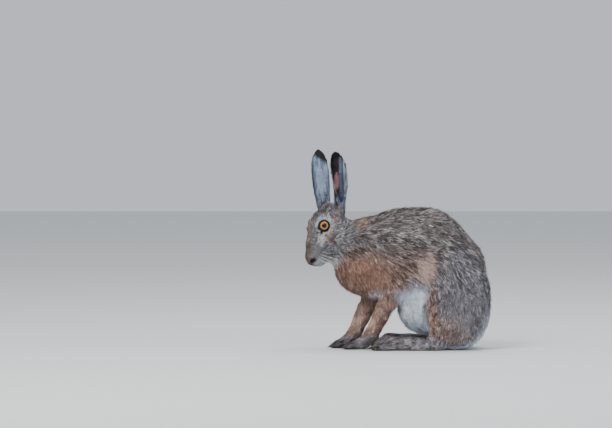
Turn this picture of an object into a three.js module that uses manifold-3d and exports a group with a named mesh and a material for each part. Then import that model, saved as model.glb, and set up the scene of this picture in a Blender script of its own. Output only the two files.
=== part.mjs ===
// A brown hare sitting with its forelegs straight and its back arched, life size, as a still model in
// separate named pieces. Millimetres, +Z up. It faces -X, so its left side is the -Y side.
// The surface is that of the coat's tips: one smooth field of muscle masses, parted by thin cuts.
import * as THREE from "three";
import { mergeVertices } from "three/addons/utils/BufferGeometryUtils.js";
import Module from "manifold-3d";

const wasm = await Module();
wasm.setup();

// Driving dimensions
const HIND_FOOT = 139; // heel to the longest toe, without the claw
const EYE_RADIUS = 11;
const GAP = 0.3; // between two pieces that touch
const HALF_TURN = Math.PI;
const degrees = THREE.MathUtils.degToRad;
const SIDES = { left: -1, right: 1 };

// Field helpers: each field takes a point and gives its rough distance outside the surface.
const point = (x, y, z) => new THREE.Vector3(x, y, z);

function smoothMin(a, b, reach) {
  const overlap = Math.max(reach - Math.abs(a - b), 0) / reach;
  return Math.min(a, b) - (overlap * overlap * reach) / 4;
}

// A chain of tapering rounds through stops [x, y, z, radius], squeezed sideways to the share wide.
function chain(stops, wide = 1, reach = 6) {
  return (p) => {
    let nearest = Infinity;
    for (let i = 0; i + 1 < stops.length; i++) {
      const [ax, ay, az, ar] = stops[i];
      const [bx, by, bz, br] = stops[i + 1];
      const dx = bx - ax, dy = (by - ay) / wide, dz = bz - az;
      const px = p.x - ax, py = (p.y - ay) / wide, pz = p.z - az;
      const along = (px * dx + py * dy + pz * dz) / (dx * dx + dy * dy + dz * dz || 1);
      const t = Math.min(1, Math.max(0, along));
      const out = Math.hypot(px - t * dx, py - t * dy, pz - t * dz) - (ar + t * (br - ar));
      nearest = nearest === Infinity ? out : smoothMin(nearest, out, reach);
    }
    return nearest;
  };
}

// An ellipsoid, turned nose down by tilt about the Y axis.
function egg([x, y, z], [rx, ry, rz], tilt = 0) {
  const c = Math.cos(tilt), s = Math.sin(tilt);
  return (p) => {
    const dx = p.x - x, dz = p.z - z;
    const u = (c * dx - s * dz) / rx, v = (p.y - y) / ry, w = (s * dx + c * dz) / rz;
    const k = Math.hypot(u, v, w);
    return k === 0 ? -Math.min(rx, ry, rz) : (k * (k - 1)) / Math.hypot(u / rx, v / ry, w / rz);
  };
}

// Fields joined in turn, each with its own blend: [[field, reach], ...].
const blend = (parts) => (p) =>
  parts.reduce((sum, [field, reach]) => smoothMin(sum, field(p), reach), 1e3);

// Head: masses in the head's own frame, nose along +x, its left along +y, the eyes' midpoint at 0.
const HEAD = {
  at: point(-147.5, -8, 231),
  pitch: degrees(51),
  yaw: degrees(27),
  roll: degrees(-8),
};
const EYE = point(-0.6, 18.5, 4.4);
const headFrame = new THREE.Matrix4()
  .makeRotationZ(HALF_TURN + HEAD.yaw)
  .multiply(new THREE.Matrix4().makeRotationY(HEAD.pitch))
  .multiply(new THREE.Matrix4().makeRotationX(HEAD.roll))
  .setPosition(HEAD.at);
const intoHead = headFrame.clone().invert();

const skull = blend([
  [egg([-21, 0, -1], [32, 23, 21.5]), 1], // braincase
  [egg([10, 0, -14], [33, 21.5, 25], 0.3), 12], // face
  [chain([[18, 0, -19, 24], [50, 0, -31, 16.5]], 0.86), 10], // muzzle
  [chain([[4, 0, 8, 11], [36, 0, -9, 11], [55, 0, -20, 10]], 0.9), 8], // bridge of the nose
  [egg([59, 0, -28], [9.5, 8.5, 8.5]), 6], // nose
  [egg([50, 8, -37], [13.5, 8.5, 10.5], 0.45), 5], // lip pad, mirrored
  [egg([42, 0, -46], [14, 9.5, 8], 0.25), 5], // chin
  [chain([[32, 7, -41, 12], [-10, 12, -37, 13.5]]), 8], // lower jaw, mirrored
  [egg([-8, 15, -19], [26, 13.5, 24]), 10], // cheek, mirrored
  [egg([-19, 12, -28], [20, 16, 18]), 10], // ruff behind the jaw, mirrored
  [egg([1, 15.5, 11.5], [18, 9.5, 8.8], 0.12), 8], // brow, mirrored
]);
const headPoint = point();
const headField = (p) => {
  headPoint.copy(p).applyMatrix4(intoHead);
  headPoint.y = Math.abs(headPoint.y);
  return skull(headPoint);
};

// Trunk
const trunk = blend([
  [chain([[-112, -3, 206, 32], [-88, -1, 193, 42]], 0.8), 1], // neck
  [chain([[-50, 0, 176, 71], [5, 0, 185, 74.5], [47, 0, 184, 77], [90, 0, 152, 72]], 0.7, 20), 30],
  [chain([[-78, 0, 142, 32], [-50, 0, 128, 30]], 0.9), 24], // breast
  [egg([50, 0, 82], [52, 42, 54]), 22], // belly
  [chain([[90, 0, 138, 64], [94, 0, 70, 46]], 0.72), 20], // rump
]);

// Hind leg, for the side -1 or +1
const hindleg = (side) =>
  blend([
    [egg([113, side * 38, 104], [59.5, 33, 90], -0.12), 1], // thigh
    [egg([106, side * 36, 52], [50, 30, 50]), 24], // seat
    [chain([[64, side * 48, 78, 18], [100, side * 42, 96, 36]]), 14], // knee
    [chain([[61, side * 50, 76, 15], [76, side * 49, 18, 13]]), 10], // shank
    [footField(side), 8],
  ]);

const HIND = { heel: 84, y: 49, toes: 4, spread: 7.4, toeRadius: 6.2 };
function toeStops(side, i) {
  const across = (i - (HIND.toes - 1) / 2) * HIND.spread;
  const short = Math.abs(across) * 0.55 + (across * side > 0 ? 2 : 0);
  const tip = HIND.heel - HIND_FOOT + HIND.toeRadius + short;
  return [
    [tip + 30, side * HIND.y + across * 0.7, 12, HIND.toeRadius],
    [tip + 14, side * HIND.y + across, 11, HIND.toeRadius],
    [tip, side * HIND.y + across, 5.4, HIND.toeRadius - 0.6],
  ];
}
function footField(side) {
  const y = side * HIND.y;
  const sole = chain([
    [HIND.heel - 13, y, 12, 13],
    [25, y, 12, 12.5],
    [-18, y, 13.5, 13.5],
  ], 1.08);
  const toes = Array.from({ length: HIND.toes }, (_, i) => [chain(toeStops(side, i)), 4]);
  return blend([[sole, 1], ...toes]);
}

// Forelegs: the right one is set further forward.
const FORELEGS = {
  left: { side: -1, elbow: [-3, -27, 128], middle: [-34, -20, 62], wrist: [-50, -18, 29], paw: 52 },
  right: { side: 1, elbow: [-38, 25, 122], middle: [-68, 19, 60], wrist: [-82, 18, 28], paw: 44 },
};
const PAW_STEPS = [-1.5, -0.5, 0.5, 1.5];
const PAW_SPREAD = 5.2;
function forelegField({ side, elbow, middle, wrist, paw }) {
  const [wx, wy] = wrist;
  const arm = chain([[...elbow, 23], [...middle, 14.5], [...wrist, 13]], 0.82);
  const shoulder = chain([[elbow[0] - 38, side * 26, 168, 28], [...elbow, 24]], 0.75);
  const hand = chain([
    [...wrist, 12.5],
    [wx - 14, wy, 14, 11],
    [wx - paw * 0.62, wy, 8.5, 9],
  ], 1.05);
  const toes = PAW_STEPS.map((step) => {
    const across = step * PAW_SPREAD;
    const tip = wx - paw + Math.abs(step) * 3;
    return [chain([
      [tip + 22, wy + across * 0.6, 9, 5.2],
      [tip + 9, wy + across, 8, 5],
      [tip, wy + across, 4.4, 4.2],
    ]), 3];
  });
  return blend([[arm, 1], [shoulder, 20], [hand, 8], ...toes]);
}

// Tail, tucked in between the seats
const tailField = chain([[140, 0, 76, 12], [146, 0, 48, 15], [133, 0, 19, 12]], 0.95);

const body = blend([
  [trunk, 1],
  [headField, 16],
  [hindleg(SIDES.left), 16],
  [hindleg(SIDES.right), 16],
  [forelegField(FORELEGS.left), 12],
  [forelegField(FORELEGS.right), 12],
  [tailField, 8],
  [egg([-117, -14, 242], [14, 12, 18]), 10], // root of the left ear
  [egg([-136, 3, 248], [12.5, 10, 17]), 10], // root of the right ear
]);


// Meshing: a dual grid over a box in a turned frame, then vertices slid onto the surface.
function slope(field, p, step = 0.5) {
  const at = (x, y, z) => field(point(p.x + x, p.y + y, p.z + z));
  return point(
    at(step, 0, 0) - at(-step, 0, 0),
    at(0, step, 0) - at(0, -step, 0),
    at(0, 0, step) - at(0, 0, -step),
  ).divideScalar(2 * step);
}

function ontoSurface(field, p, rounds = 3) {
  for (let i = 0; i < rounds; i++) {
    const g = slope(field, p);
    p.addScaledVector(g, -field(p) / Math.max(g.lengthSq(), 0.05));
  }
  return p;
}

function meshField(field, { low, high, cell, frame = new THREE.Matrix4(), relax = 2 }) {
  const counts = cell.map((c, k) => Math.ceil((high[k] - low[k]) / c) + 1);
  const steps = counts.map((n, k) => (high[k] - low[k]) / (n - 1));
  const inBox = (p) =>
    Math.max(...["x", "y", "z"].map((a, k) =>
      Math.max(low[k] + 1.01 * steps[k] - p[a], p[a] - high[k] + 1.01 * steps[k])));
  const world = point();
  const boxed = (p) => Math.max(field(world.copy(p).applyMatrix4(frame)), inBox(p));
  const [nx, ny, nz] = counts;
  const index = (i, j, k) => (k * ny + j) * nx + i;
  const corner = (i, j, k) =>
    point(low[0] + i * steps[0], low[1] + j * steps[1], low[2] + k * steps[2]);
  const values = new Float64Array(nx * ny * nz);
  for (let k = 0; k < nz; k++)
    for (let j = 0; j < ny; j++)
      for (let i = 0; i < nx; i++) values[index(i, j, k)] = boxed(corner(i, j, k)) || 1e-6;

  const vertices = [];
  const vertexOf = new Int32Array(nx * ny * nz).fill(-1);
  for (let k = 0; k < nz - 1; k++)
    for (let j = 0; j < ny - 1; j++)
      for (let i = 0; i < nx - 1; i++) {
        const crossings = [];
        for (const [a, b] of CELL_EDGES) {
          const pa = CELL_CORNERS[a], pb = CELL_CORNERS[b];
          const va = values[index(i + pa[0], j + pa[1], k + pa[2])];
          const vb = values[index(i + pb[0], j + pb[1], k + pb[2])];
          if (va > 0 === vb > 0) continue;
          const t = va / (va - vb);
          crossings.push([0, 1, 2].map((m) => pa[m] + t * (pb[m] - pa[m])));
        }
        if (!crossings.length) continue;
        const mean = [0, 1, 2].map((m) =>
          crossings.reduce((sum, c) => sum + c[m], 0) / crossings.length);
        vertexOf[index(i, j, k)] = vertices.length;
        vertices.push(corner(i + mean[0], j + mean[1], k + mean[2]));
      }

  const quads = [];
  const axes = [[1, 0, 0], [0, 1, 0], [0, 0, 1]];
  for (let k = 1; k < nz - 1; k++)
    for (let j = 1; j < ny - 1; j++)
      for (let i = 1; i < nx - 1; i++)
        axes.forEach(([ax, ay, az], axis) => {
          const here = values[index(i, j, k)] > 0;
          if (here === values[index(i + ax, j + ay, k + az)] > 0) return;
          const [bx, by, bz] = axes[(axis + 1) % 3], [cx, cy, cz] = axes[(axis + 2) % 3];
          const ring = [
            vertexOf[index(i, j, k)],
            vertexOf[index(i - bx, j - by, k - bz)],
            vertexOf[index(i - bx - cx, j - by - cy, k - bz - cz)],
            vertexOf[index(i - cx, j - cy, k - cz)],
          ];
          quads.push(here ? ring.reverse() : ring);
        });

  const around = vertices.map(() => new Set());
  for (const q of quads)
    q.forEach((v, n) => around[v].add(q[(n + 1) % 4]).add(q[(n + 3) % 4]));
  for (let round = 0; round < relax; round++) {
    const moved = vertices.map((v, n) => {
      const mean = point();
      for (const m of around[n]) mean.add(vertices[m]);
      return mean.divideScalar(around[n].size).lerp(v, 0.4);
    });
    moved.forEach((v, n) => vertices[n].copy(ontoSurface(boxed, v, 2)));
  }

  const triangles = quads.flatMap(([a, b, c, d]) =>
    vertices[a].distanceTo(vertices[c]) < vertices[b].distanceTo(vertices[d])
      ? [a, b, c, a, c, d]
      : [a, b, d, b, c, d]);
  vertices.forEach((v) => v.applyMatrix4(frame));
  return solid(vertices, triangles);
}
const CELL_CORNERS = [
  [0, 0, 0], [1, 0, 0], [0, 1, 0], [1, 1, 0], [0, 0, 1], [1, 0, 1], [0, 1, 1], [1, 1, 1],
];
const CELL_EDGES = [
  [0, 1], [2, 3], [4, 5], [6, 7], [0, 2], [1, 3], [4, 6], [5, 7], [0, 4], [1, 5], [2, 6], [3, 7],
];

// Solids for cutting and joining
function solid(vertices, triangles) {
  const flat = new Float32Array(vertices.length * 3);
  vertices.forEach((v, n) => v.toArray(flat, n * 3));
  return new wasm.Manifold(new wasm.Mesh({
    numProp: 3,
    vertProperties: flat,
    triVerts: new Uint32Array(triangles),
  }));
}

function solidOf(geometry, matrix = new THREE.Matrix4()) {
  const bare = geometry.clone();
  bare.deleteAttribute("normal");
  bare.deleteAttribute("uv");
  const { attributes, index } = mergeVertices(bare.applyMatrix4(matrix), 1e-4);
  const vertices = Array.from({ length: attributes.position.count }, (_, n) =>
    point().fromBufferAttribute(attributes.position, n));
  const triangles = Array.from(index.array);
  return solid(vertices, matrix.determinant() < 0 ? triangles.reverse() : triangles);
}

// A closed skin over rings of points, each ring running the same way round.
function loft(rings) {
  const n = rings[0].length;
  const vertices = rings.flat();
  const triangles = [];
  for (let i = 0; i + 1 < rings.length; i++)
    for (let j = 0; j < n; j++) {
      const a = i * n + j, b = i * n + ((j + 1) % n);
      triangles.push(a, b, b + n, a, b + n, a + n);
    }
  const last = (rings.length - 1) * n;
  for (let j = 0; j < n / 2 - 1; j++) {
    const [a, b, c, d] = [j, j + 1, n - 2 - j, n - 1 - j];
    triangles.push(a, c, b, a, d, c);
    triangles.push(last + a, last + b, last + c, last + a, last + c, last + d);
  }
  const made = solid(vertices, triangles);
  return made.volume() < 0 ? solid(vertices, triangles.reverse()) : made;
}

const largest = (piece) =>
  piece.decompose().reduce((a, b) => (a.volume() > b.volume() ? a : b));

// The same piece with its shortest edges closed up, which cuts leave along their rims.
const SHORTEST_EDGE = 0.12;
function withoutSlivers(piece) {
  const { vertProperties, triVerts } = piece.getMesh();
  const vertices = Array.from({ length: vertProperties.length / 3 }, (_, n) =>
    point().fromArray(vertProperties, n * 3));
  const keeper = vertices.map((_, n) => n);
  const kept = (n) => {
    while (keeper[n] !== n) n = keeper[n];
    return n;
  };
  for (let i = 0; i < triVerts.length; i++) {
    const next = i % 3 === 2 ? i - 2 : i + 1;
    const a = kept(triVerts[i]), b = kept(triVerts[next]);
    if (a !== b && vertices[a].distanceTo(vertices[b]) < SHORTEST_EDGE)
      keeper[Math.max(a, b)] = Math.min(a, b);
  }
  const faces = new Map();
  for (let i = 0; i < triVerts.length; i += 3) {
    const face = [kept(triVerts[i]), kept(triVerts[i + 1]), kept(triVerts[i + 2])];
    if (new Set(face).size < 3) continue;
    const key = [...face].sort((a, b) => a - b).join();
    if (!faces.delete(key)) faces.set(key, face);
  }
  return solid(vertices, [...faces.values()].flat());
}

// The same piece with corners that share one place drawn apart, inwards.
const APART = 0.03;
function withoutPinches(piece) {
  const { vertProperties, triVerts } = piece.getMesh();
  const geometry = new THREE.BufferGeometry()
    .setAttribute("position", new THREE.BufferAttribute(vertProperties, 3))
    .setIndex(new THREE.BufferAttribute(triVerts, 1));
  geometry.computeVertexNormals();
  const { position, normal } = geometry.attributes;
  const vertices = Array.from({ length: position.count }, (_, n) =>
    point().fromBufferAttribute(position, n));
  const places = new Map();
  vertices.forEach((v, n) => {
    const key = v.toArray().map((c) => c.toFixed(3)).join();
    places.set(key, [...(places.get(key) ?? []), n]);
  });
  for (const group of places.values())
    if (group.length > 1)
      for (const n of group)
        vertices[n].addScaledVector(point().fromBufferAttribute(normal, n), -APART);
  return solid(vertices, Array.from(triVerts));
}

// The half of space on the far side of a plane from its normal, drawn back by back.
const REACH = 900;
function behind(at, normal, back = GAP / 2) {
  const n = point(...normal).normalize();
  const turn = new THREE.Quaternion().setFromUnitVectors(point(0, 0, 1), n);
  const centre = point(...at).addScaledVector(n, -back - REACH / 2);
  return solidOf(new THREE.BoxGeometry(REACH, REACH, REACH),
    new THREE.Matrix4().compose(centre, turn, point(1, 1, 1)));
}
const turned = (normal) => normal.map((c) => -c);

// Where the pieces part: a point of each plane and its normal
const NAPE = { at: [-98, -2, 203], normal: [0.867, 0.06, -0.495] };
const SHOULDER = { at: [-82, 0, 183], normal: [0.973, 0, -0.23] };
const ANKLE = { height: 27, heel: [88, 0, 0], heelNormal: [1, 0, 0.35] };
const FLOOR = { at: [0, 0, 0], normal: [0, 0, -1] };

const onFloor = behind(FLOOR.at, FLOOR.normal, 0);

function block(low, high) {
  const size = high.map((c, k) => c - low[k]);
  const centre = point(...high.map((c, k) => (c + low[k]) / 2));
  return solidOf(new THREE.BoxGeometry(...size), new THREE.Matrix4().setPosition(centre));
}

// The bowl that parts a haunch from the trunk
const HAUNCH = { at: [105, 92, 92], radii: [98, 68, 124] };
function haunchBowl(side, grow) {
  const [rx, ry, rz] = HAUNCH.radii;
  const ball = new THREE.SphereGeometry(1, 26, 16);
  const scale = point(rx + grow, ry + grow, rz + grow);
  const centre = point(HAUNCH.at[0], side * HAUNCH.at[1], HAUNCH.at[2]);
  const turn = new THREE.Quaternion();
  return solidOf(ball, new THREE.Matrix4().compose(centre, turn, scale));
}

function hindFootRoom(side, grow) {
  const [inner, outer] = [22 - grow, 90];
  const ys = side < 0 ? [-outer, -inner] : [inner, outer];
  return block([-90, ys[0], -20], [120, ys[1], ANKLE.height + grow])
    .intersect(behind(ANKLE.heel, ANKLE.heelNormal, -grow));
}

function forelegRoom({ side, elbow, wrist }, grow) {
  const ys = side < 0 ? [-60, -1 + grow] : [1 - grow, 60];
  const shoulderCut = { at: [elbow[0] + 4, 0, elbow[2] - 18], normal: [-0.3, side * 0.25, 0.95] };
  const rear = { at: [elbow[0] + 26, 0, elbow[2] - 10], normal: [0.85, 0, -0.53] };
  return block([wrist[0] - 80, ys[0], -20], [60, ys[1], 160])
    .intersect(behind(shoulderCut.at, shoulderCut.normal, -grow))
    .intersect(behind(rear.at, rear.normal, -grow));
}

// The tail's share of the body: a slab between the seats, behind a slanting plane
const TAIL = { at: [133, 0, 60], normal: [-0.97, 0, -0.25], half: 18, top: 92 };
function tailRoom(grow) {
  return block([60, -TAIL.half - grow, -20], [220, TAIL.half + grow, TAIL.top + grow])
    .intersect(behind(TAIL.at, TAIL.normal, -grow));
}

function wristPlane({ middle, wrist }) {
  const [x, y, z] = wrist;
  return { at: [x, y, z + 1], normal: [x - middle[0], 0, (z - middle[2]) * 1.3] };
}

// Eyes: the head's own left is its +y
function eyeSolid(side, grow) {
  const centre = point(EYE.x, side * EYE.y, EYE.z);
  const size = EYE_RADIUS + grow;
  const ball = new THREE.SphereGeometry(1, 16, 10);
  const place = new THREE.Matrix4().compose(centre, new THREE.Quaternion(), point(size, size, size));
  return solidOf(ball, headFrame.clone().multiply(place));
}

// Lids: a ring round each eye, drawn out to its front lower corner
const LID = { out: 5, long: 10.8, high: 9.8, tube: 2.6, corner: 2.2, tilt: 0.6, ahead: 0.26 };
const LID_FACES = { sides: 7, steps: 20 };
function lidSolid(side) {
  const ring = new THREE.TorusGeometry(1, LID.tube / LID.high, LID_FACES.sides, LID_FACES.steps);
  const { position } = ring.attributes;
  for (let i = 0; i < position.count; i++) {
    const v = point().fromBufferAttribute(position, i);
    const front = Math.max(v.x, 0) ** 3 * LID.corner;
    position.setXYZ(i, v.x * LID.long + front, v.y * LID.high, v.z * LID.high);
  }
  const place = new THREE.Matrix4().makeScale(1, side, 1)
    .multiply(new THREE.Matrix4().makeTranslation(EYE.x, EYE.y, EYE.z))
    .multiply(new THREE.Matrix4().makeRotationZ(-LID.ahead))
    .multiply(new THREE.Matrix4().makeTranslation(0, LID.out, 0))
    .multiply(new THREE.Matrix4().makeRotationY(LID.tilt))
    .multiply(new THREE.Matrix4().makeRotationX(HALF_TURN / 2));
  return solidOf(ring, headFrame.clone().multiply(place));
}

// Mouth: a groove between the lips and a nostril on each side
function skinAt(x, z) {
  let y = 40;
  while (y > 0 && skull(point(x, y, z)) > 0) y -= 0.25;
  return y;
}
function groove(stops, width, depth) {
  return loft(stops.map(([x, y, z]) => {
    const outward = point(x - 20, y * 1.6, (z + 30) * 0.3).normalize();
    const edge = point(0, 0, 1);
    const at = point(x, y, z);
    return [
      at.clone().addScaledVector(outward, 2).addScaledVector(edge, width),
      at.clone().addScaledVector(outward, -depth),
      at.clone().addScaledVector(outward, -depth - 0.1).addScaledVector(edge, -0.1),
      at.clone().addScaledVector(outward, 2).addScaledVector(edge, -width),
    ].map((v) => v.applyMatrix4(headFrame));
  }));
}
const LIP = { corner: 27, front: 60, high: -42, low: -36, stops: 9 };
function mouthCuts() {
  const cuts = [];
  for (const side of [-1, 1]) {
    const line = Array.from({ length: LIP.stops }, (_, i) => {
      const t = i / (LIP.stops - 1);
      const x = LIP.corner + (LIP.front - LIP.corner) * t;
      const z = LIP.high + 3 * Math.sin(t * HALF_TURN) + (LIP.low - LIP.high) * t * t;
      return [x, side * Math.max(skinAt(x, z), 0.5), z];
    });
    cuts.push(groove(line, 1.1, 1.8));
    const nostril = egg([62, side * 7.5, -25], [6, 3, 3.6], -0.5);
    const low = [53, side * 7.5 - 6, -33], high = [71, side * 7.5 + 6, -17];
    const hole = meshField(nostril, { low, high, cell: [2.6, 1.8, 2] });
    cuts.push(hole.transform([...headFrame.elements]));
  }
  return cuts;
}

// Ears: stations [along, width, opening, lean], from the skull to the tip. The opening is half the
// cup's arc; the left ear opens to the left, the right to the right.
const EAR_THICK = 2.6;
const EAR_SEAT = 0.5;
const EAR_ARC = 8;
const EARS = {
  left: {
    root: point(-115.5, -13, 238), tip: point(-120, -36, 371), front: point(-0.93, -0.36, 0),
    stops: [[0, 24, 3.1], [0.16, 23.5, 3.1], [0.28, 23, 2.95], [0.4, 25.5, 2.3], [0.52, 29, 1.75],
      [0.62, 32, 1.35], [0.74, 34, 1.2], [0.84, 32, 1.1], [0.92, 25, 1], [0.97, 16, 0.9], [1, 6, 0.8]],
    bend: 7,
  },
  right: {
    root: point(-136.5, 4, 238), tip: point(-152, 22, 373), front: point(-0.93, 0.36, 0),
    stops: [[0, 24, 3.1], [0.16, 25, 3.1], [0.28, 28, 2.9], [0.4, 31, 2.2], [0.52, 34, 1.7],
      [0.62, 36, 1.35], [0.74, 36, 1.2], [0.84, 33, 1.1], [0.92, 26, 1], [0.97, 16, 0.9], [1, 6, 0.8]],
    bend: -3,
  },
};
function earSolid({ root, tip, front, stops, bend }) {
  const up = tip.clone().sub(root).normalize();
  const across = front.clone().addScaledVector(up, -front.dot(up)).normalize();
  const open = up.clone().cross(across).multiplyScalar(Math.sign(front.y) * -1);
  return loft(stops.map(([t, width, opening]) => {
    const radius = width / 2 / Math.sin(Math.min(opening, HALF_TURN / 2));
    const centre = root.clone().lerp(tip, t).addScaledVector(across, -bend * Math.sin(t * HALF_TURN));
    const back = radius * (1 - Math.max(Math.cos(opening), -0.4)) * 0.5;
    const thick = Math.min(EAR_THICK, radius * 0.4);
    const arc = (r, from) => Array.from({ length: EAR_ARC }, (_, i) => {
      const angle = from * opening * (1 - (2 * i) / (EAR_ARC - 1));
      return centre.clone()
        .addScaledVector(across, r * Math.sin(angle))
        .addScaledVector(open, radius - back - r * Math.cos(angle));
    });
    return [...arc(radius, 1), ...arc(radius - thick, -1)];
  }));
}

// Claws, one at each toe's tip
function claw(x, y, z, long, thick) {
  const cone = new THREE.ConeGeometry(thick, long, 7);
  const turn = new THREE.Quaternion().setFromUnitVectors(point(0, 1, 0), point(-0.9, 0, -0.44));
  return solidOf(cone, new THREE.Matrix4().compose(point(x, y, z), turn, point(1, 1, 1)));
}

// Building the nodes
const pieces = {};
const whole = (low, high, cell, extra = {}) => meshField(body, { low, high, cell, ...extra });

const haunchRooms = Object.values(SIDES).map((side) => haunchBowl(side, GAP));
const footRooms = Object.values(SIDES).map((side) => hindFootRoom(side, GAP));
const legRooms = Object.values(FORELEGS).map((leg) => forelegRoom(leg, GAP));

const midTrunk = whole([-150, -84, -12], [192, 84, 284], [13.5, 12.5, 13.5]).intersect(onFloor);
const afterShoulder = behind(SHOULDER.at, turned(SHOULDER.normal));
pieces.torso = [...haunchRooms, ...footRooms, ...legRooms, tailRoom(GAP)]
  .reduce((rest, room) => rest.subtract(room), midTrunk.intersect(afterShoulder));

const neckBlock = whole([-175, -70, 90], [-40, 70, 275], [10, 10, 10]);
pieces.neck = neckBlock
  .intersect(behind(NAPE.at, turned(NAPE.normal)))
  .intersect(behind(SHOULDER.at, SHOULDER.normal));

for (const [name, side] of Object.entries(SIDES)) {
  const ys = side < 0 ? [-90, 0] : [0, 90];
  pieces[`haunch_${name}`] = whole([0, ys[0], -10], [196, ys[1], 230], [11.5, 10.5, 11.5])
    .intersect(haunchBowl(side, 0)).intersect(onFloor).subtract(footRooms[side < 0 ? 0 : 1]);
  const footYs = [side * HIND.y - 30, side * HIND.y + 30];
  pieces[`hind_foot_${name}`] = whole([-72, footYs[0], -8], [104, footYs[1], 44], [8.5, 4.8, 5])
    .intersect(hindFootRoom(side, 0)).intersect(onFloor);
  for (let i = 0; i < HIND.toes; i++) {
    const [x, y] = toeStops(side, i)[2];
    const nail = claw(x - 6.5, y, 5.6, 11, 1.9);
    pieces[`hind_foot_${name}`] = pieces[`hind_foot_${name}`].add(nail);
  }
}

for (const [name, leg] of Object.entries(FORELEGS)) {
  const [wx, wy] = leg.wrist;
  const cutAt = wristPlane(leg);
  const ys = [wy - 34, wy + 34];
  const room = forelegRoom(leg, 0);
  pieces[`foreleg_${name}`] = whole([wx - 30, ys[0], 10], [wx + 100, ys[1], 150], [7, 6, 9])
    .intersect(room).intersect(behind(cutAt.at, cutAt.normal));
  pieces[`forepaw_${name}`] = whole([wx - 62, wy - 24, -8], [wx + 30, wy + 24, 46], [5, 4.3, 4.3])
    .intersect(room).intersect(behind(cutAt.at, turned(cutAt.normal))).intersect(onFloor);
  for (const step of PAW_STEPS) {
    const nail = claw(wx - leg.paw + Math.abs(step) * 3 - 5, wy + step * PAW_SPREAD, 4.2, 8.5, 1.5);
    pieces[`forepaw_${name}`] = pieces[`forepaw_${name}`].add(nail);
  }
}

const headBox = { low: [-100, -62, -92], high: [80, 62, 44], cell: [5.8, 4.8, 5.5], frame: headFrame };
const headBlock = meshField(body, headBox);
const lidded = headBlock.add(lidSolid(1)).add(lidSolid(-1));
pieces.head = [eyeSolid(1, GAP), eyeSolid(-1, GAP), ...mouthCuts()]
  .reduce((rest, cut) => rest.subtract(cut), lidded.intersect(behind(NAPE.at, NAPE.normal)));
pieces.eye_left = eyeSolid(1, 0);
pieces.eye_right = eyeSolid(-1, 0);

const earBed = meshField((p) => body(p) - EAR_SEAT, headBox);
pieces.ear_left = earSolid(EARS.left).subtract(earBed);
pieces.ear_right = earSolid(EARS.right).subtract(earBed);

pieces.tail = whole([104, -32, -8], [180, 32, 110], [8, 6.5, 8])
  .intersect(tailRoom(0)).intersect(onFloor);

const coat = (color) => ({ color, roughness: 0.9, metalness: 0 });
const LOOKS = {
  head: coat(0x8a7462), neck: coat(0x8d6a4c), torso: coat(0x7d6450), tail: coat(0xc9c4bf),
  ear: coat(0x85868c), foreleg: coat(0x936848), forepaw: coat(0x6a5646),
  haunch: coat(0x7a6c62), hind_foot: coat(0x6a5646),
  eye: { color: 0x5a3410, roughness: 0.1, metalness: 0 },
};
for (const name of Object.keys(pieces))
  pieces[name] = withoutPinches(largest(withoutSlivers(largest(pieces[name]))));
const boxes = Object.values(pieces).map((piece) => piece.boundingBox());
const lowest = [0, 1, 2].map((k) => Math.min(...boxes.map((box) => box.min[k])));
const highest = [0, 1, 2].map((k) => Math.max(...boxes.map((box) => box.max[k])));
const hare = new THREE.Group();
hare.position.set(-(lowest[0] + highest[0]) / 2, -(lowest[1] + highest[1]) / 2, -lowest[2]);
for (const [name, piece] of Object.entries(pieces)) {
  const mesh = piece.getMesh();
  const geometry = new THREE.BufferGeometry()
    .setAttribute("position", new THREE.BufferAttribute(mesh.vertProperties, 3))
    .setIndex(new THREE.BufferAttribute(mesh.triVerts, 1));
  const look = LOOKS[name.replace(/_(left|right)$/, "")];
  const node = new THREE.Mesh(geometry, new THREE.MeshStandardMaterial(look));
  node.name = name;
  hare.add(node);
}
export default hare;
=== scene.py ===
"""Looks of the brown hare: a skin inside the solids, a coat of solid tufts, eyes, claws and whiskers."""
import math

import bmesh
import bpy
import numpy as np
from mathutils import Matrix, Vector


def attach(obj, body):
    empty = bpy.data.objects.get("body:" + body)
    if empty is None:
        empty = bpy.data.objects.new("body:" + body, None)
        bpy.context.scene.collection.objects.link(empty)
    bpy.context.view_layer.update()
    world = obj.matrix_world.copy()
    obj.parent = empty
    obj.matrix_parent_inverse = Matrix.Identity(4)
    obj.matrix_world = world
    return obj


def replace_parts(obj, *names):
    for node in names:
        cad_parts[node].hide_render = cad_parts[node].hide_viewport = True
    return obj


MM = 0.001
rng = np.random.default_rng(7)

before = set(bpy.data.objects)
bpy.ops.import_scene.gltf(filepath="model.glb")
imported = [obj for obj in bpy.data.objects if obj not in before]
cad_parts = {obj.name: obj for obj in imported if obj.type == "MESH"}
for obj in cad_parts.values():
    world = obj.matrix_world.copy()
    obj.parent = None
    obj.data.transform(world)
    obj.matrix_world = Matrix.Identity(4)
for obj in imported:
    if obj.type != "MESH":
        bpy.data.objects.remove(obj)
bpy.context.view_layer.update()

# The drawing's own origin against the frame's, in millimetres
SHIFT = np.array([1.69, 0.0, 0.0])
HEAD_AT = np.array([-147.5, -8.0, 231.0])
HEAD_PITCH, HEAD_YAW, HEAD_ROLL = math.radians(51), math.radians(27), math.radians(-8)
EYE_AT = np.array([-0.6, 18.5, 4.4])
EYE_RADIUS = 11.0
# The lip line in the head's own x and z: its corner, its front and how far it bows
LIP_CORNER, LIP_FRONT, LIP_LOW, LIP_RISE, LIP_BOW = 27.0, 60.0, -42.0, 6.0, 3.0


def head_axes():
    turn = Matrix.Rotation(math.pi + HEAD_YAW, 3, "Z")
    nod = Matrix.Rotation(HEAD_PITCH, 3, "Y")
    roll = Matrix.Rotation(HEAD_ROLL, 3, "X")
    return np.array(turn @ nod @ roll)


HEAD = head_axes()


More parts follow.
